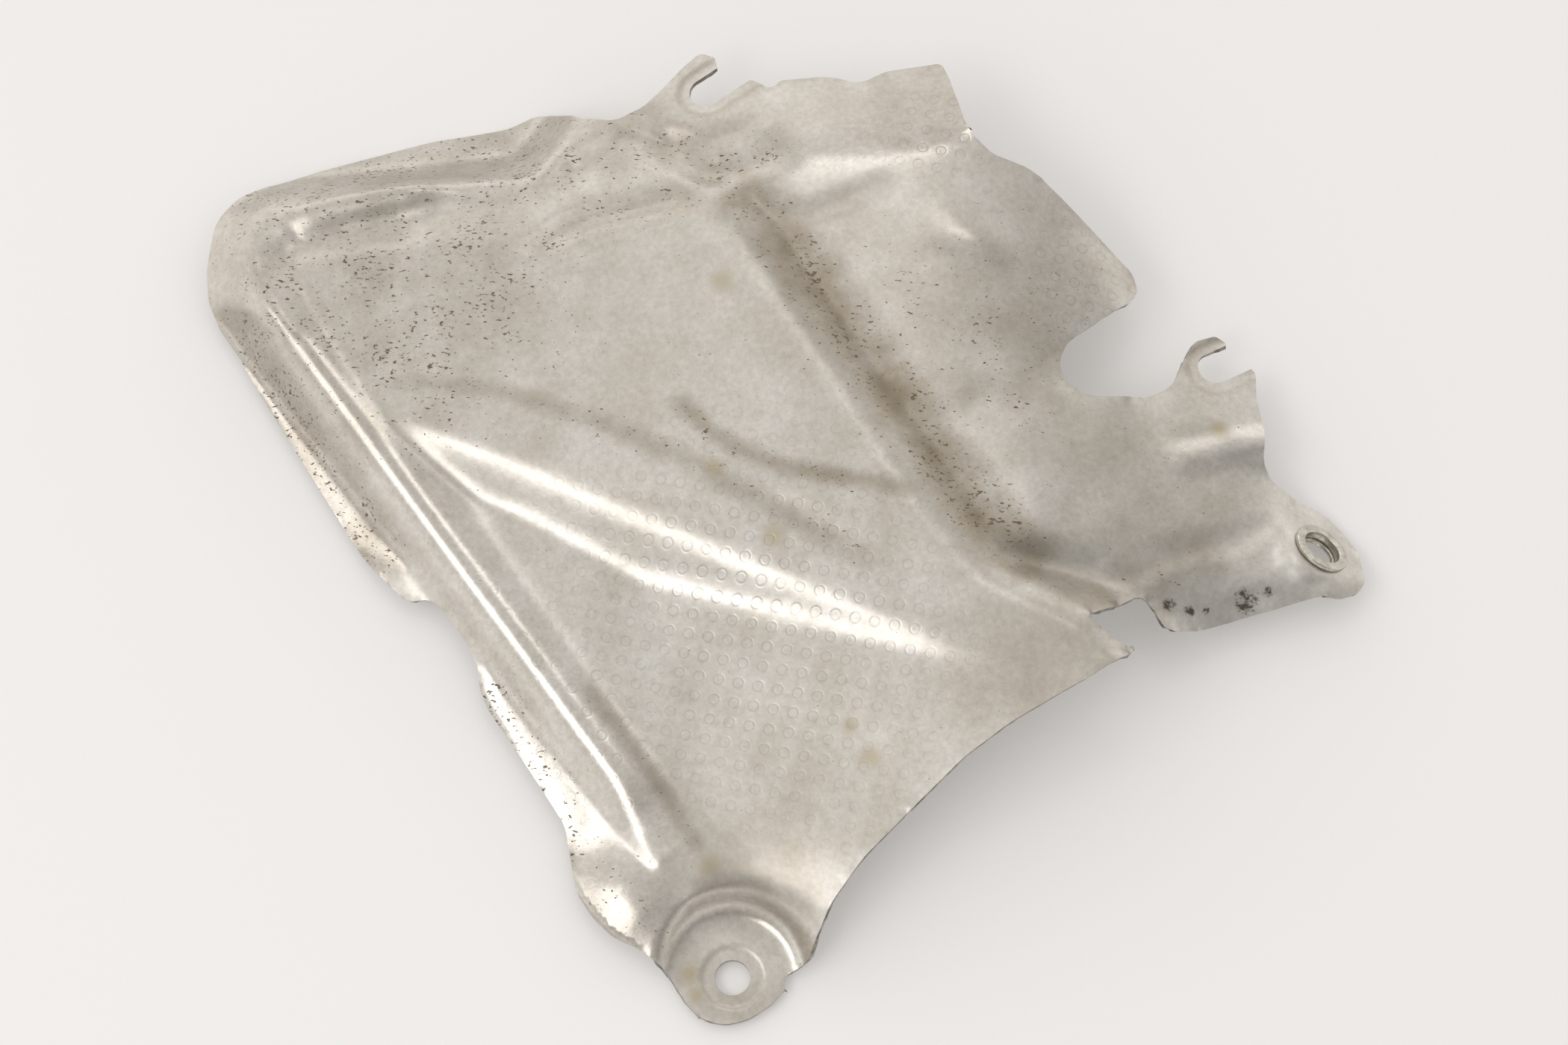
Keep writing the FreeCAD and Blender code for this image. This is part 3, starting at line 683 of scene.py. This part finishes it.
# Back ring of the bush: a steel ring with a smaller bore, pressed up under the sheet against the
# neck of the sleeve, so that its ledge shows inside the bore.
ring_bore = 3.4
ring_foot = -1.84
ring_profile = [(ring_bore, ring_foot), (flange, ring_foot), (flange, neck_end), (ring_bore, neck_end)]
back_ring = turned("back_ring", ring_profile, 0.25, 3)
back_ring.data.materials.append(zinc)
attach(back_ring, "root")
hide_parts("bush_back_ring")

# Floor: a pale matt sheet of paper that the shield lies on, a little lit from below.
floor_size = 6.0
floor_gap = 0.0002
floor_glow = 0.25
bpy.ops.object.select_all(action="DESELECT")
bpy.ops.mesh.primitive_plane_add(size=floor_size, location=(0.0, 0.0, cad_box[0][2] - floor_gap))
floor = bpy.context.active_object
floor.name = "floor"
paper = bpy.data.materials.new("matt_paper")
paper.use_nodes = True
shader = paper.node_tree.nodes["Principled BSDF"]
shader.inputs["Base Color"].default_value = linear("#f5f3f1")
shader.inputs["Roughness"].default_value = 0.9
ray_kind = add(paper, "ShaderNodeLightPath", {})
seen = add(paper, "ShaderNodeMath",
           {0: ray_kind.outputs["Is Camera Ray"], 1: ray_kind.outputs["Is Glossy Ray"]}, operation="MAXIMUM")
seen_too = add(paper, "ShaderNodeMath",
               {0: seen.outputs["Value"], 1: ray_kind.outputs["Is Transmission Ray"]}, operation="MAXIMUM")
share = add(paper, "ShaderNodeMath", {0: seen_too.outputs["Value"]}, operation="MULTIPLY")
share.inputs[1].default_value = floor_glow
backlit = add(paper, "ShaderNodeEmission", {}, Color=linear("#ece9e7"))
lit = add(paper, "ShaderNodeMixShader",
          {0: share.outputs["Value"], 1: shader.outputs["BSDF"], 2: backlit.outputs["Emission"]})
paper.node_tree.links.new(lit.outputs["Shader"], paper.node_tree.nodes["Material Output"].inputs["Surface"])
floor.data.materials.append(paper)

# Light: one soft box high to the front and left, a bright card to the left and a small one above, in a
# room that is pale above, behind and along the horizon and darker to the front and the right.
target = Vector((0.01, 0.09, 0.01))
for name, wide, tall, watts, away, way in (
    ("soft_box", 0.62, 0.46, 1.9, 1.25, (-0.50, -0.365, 0.785)),
    ("top_card", 0.3, 0.3, 0.5, 1.4, (0.0, 0.43, 0.9)),
    ("side_card", 0.4, 0.4, 0.82, 1.25, (-0.68, -0.04, 0.73)),
):
    light = bpy.data.lights.new(name, "AREA")
    light.shape = "RECTANGLE"
    light.size = wide
    light.size_y = tall
    light.energy = watts
    lamp = bpy.data.objects.new(name, light)
    lamp.location = target + away * Vector(way)
    lamp.rotation_euler = (target - lamp.location).to_track_quat("-Z", "Y").to_euler()
    bpy.context.scene.collection.objects.link(lamp)
palest_way = (-0.2, 0.35, 0.372)
room = bpy.data.worlds.new("pale_room")
room.use_nodes = True
ray = add(room, "ShaderNodeTexCoord", {}).outputs["Generated"]
level = add(room, "ShaderNodeVectorMath", {0: ray}, operation="DOT_PRODUCT")
level.inputs[1].default_value = palest_way
glow = add(room, "ShaderNodeMapRange", {"Value": level.outputs["Value"]},
           **{"From Min": -0.2, "From Max": 0.6, "To Min": 0.25, "To Max": 1.0})
height = add(room, "ShaderNodeSeparateXYZ", {"Vector": ray})
horizon = add(room, "ShaderNodeMapRange", {"Value": height.outputs["Z"]},
              **{"From Max": 0.7, "To Min": 0.82, "To Max": 0.0})
strength = add(room, "ShaderNodeMath", {0: glow.outputs["Result"], 1: horizon.outputs["Result"]},
               operation="ADD")
room.node_tree.links.new(strength.outputs["Value"], room.node_tree.nodes["Background"].inputs["Strength"])
room.node_tree.nodes["Background"].inputs["Color"].default_value = linear("#fffefc")
bpy.context.scene.world = room
bpy.context.scene.view_settings.view_transform = "Standard"
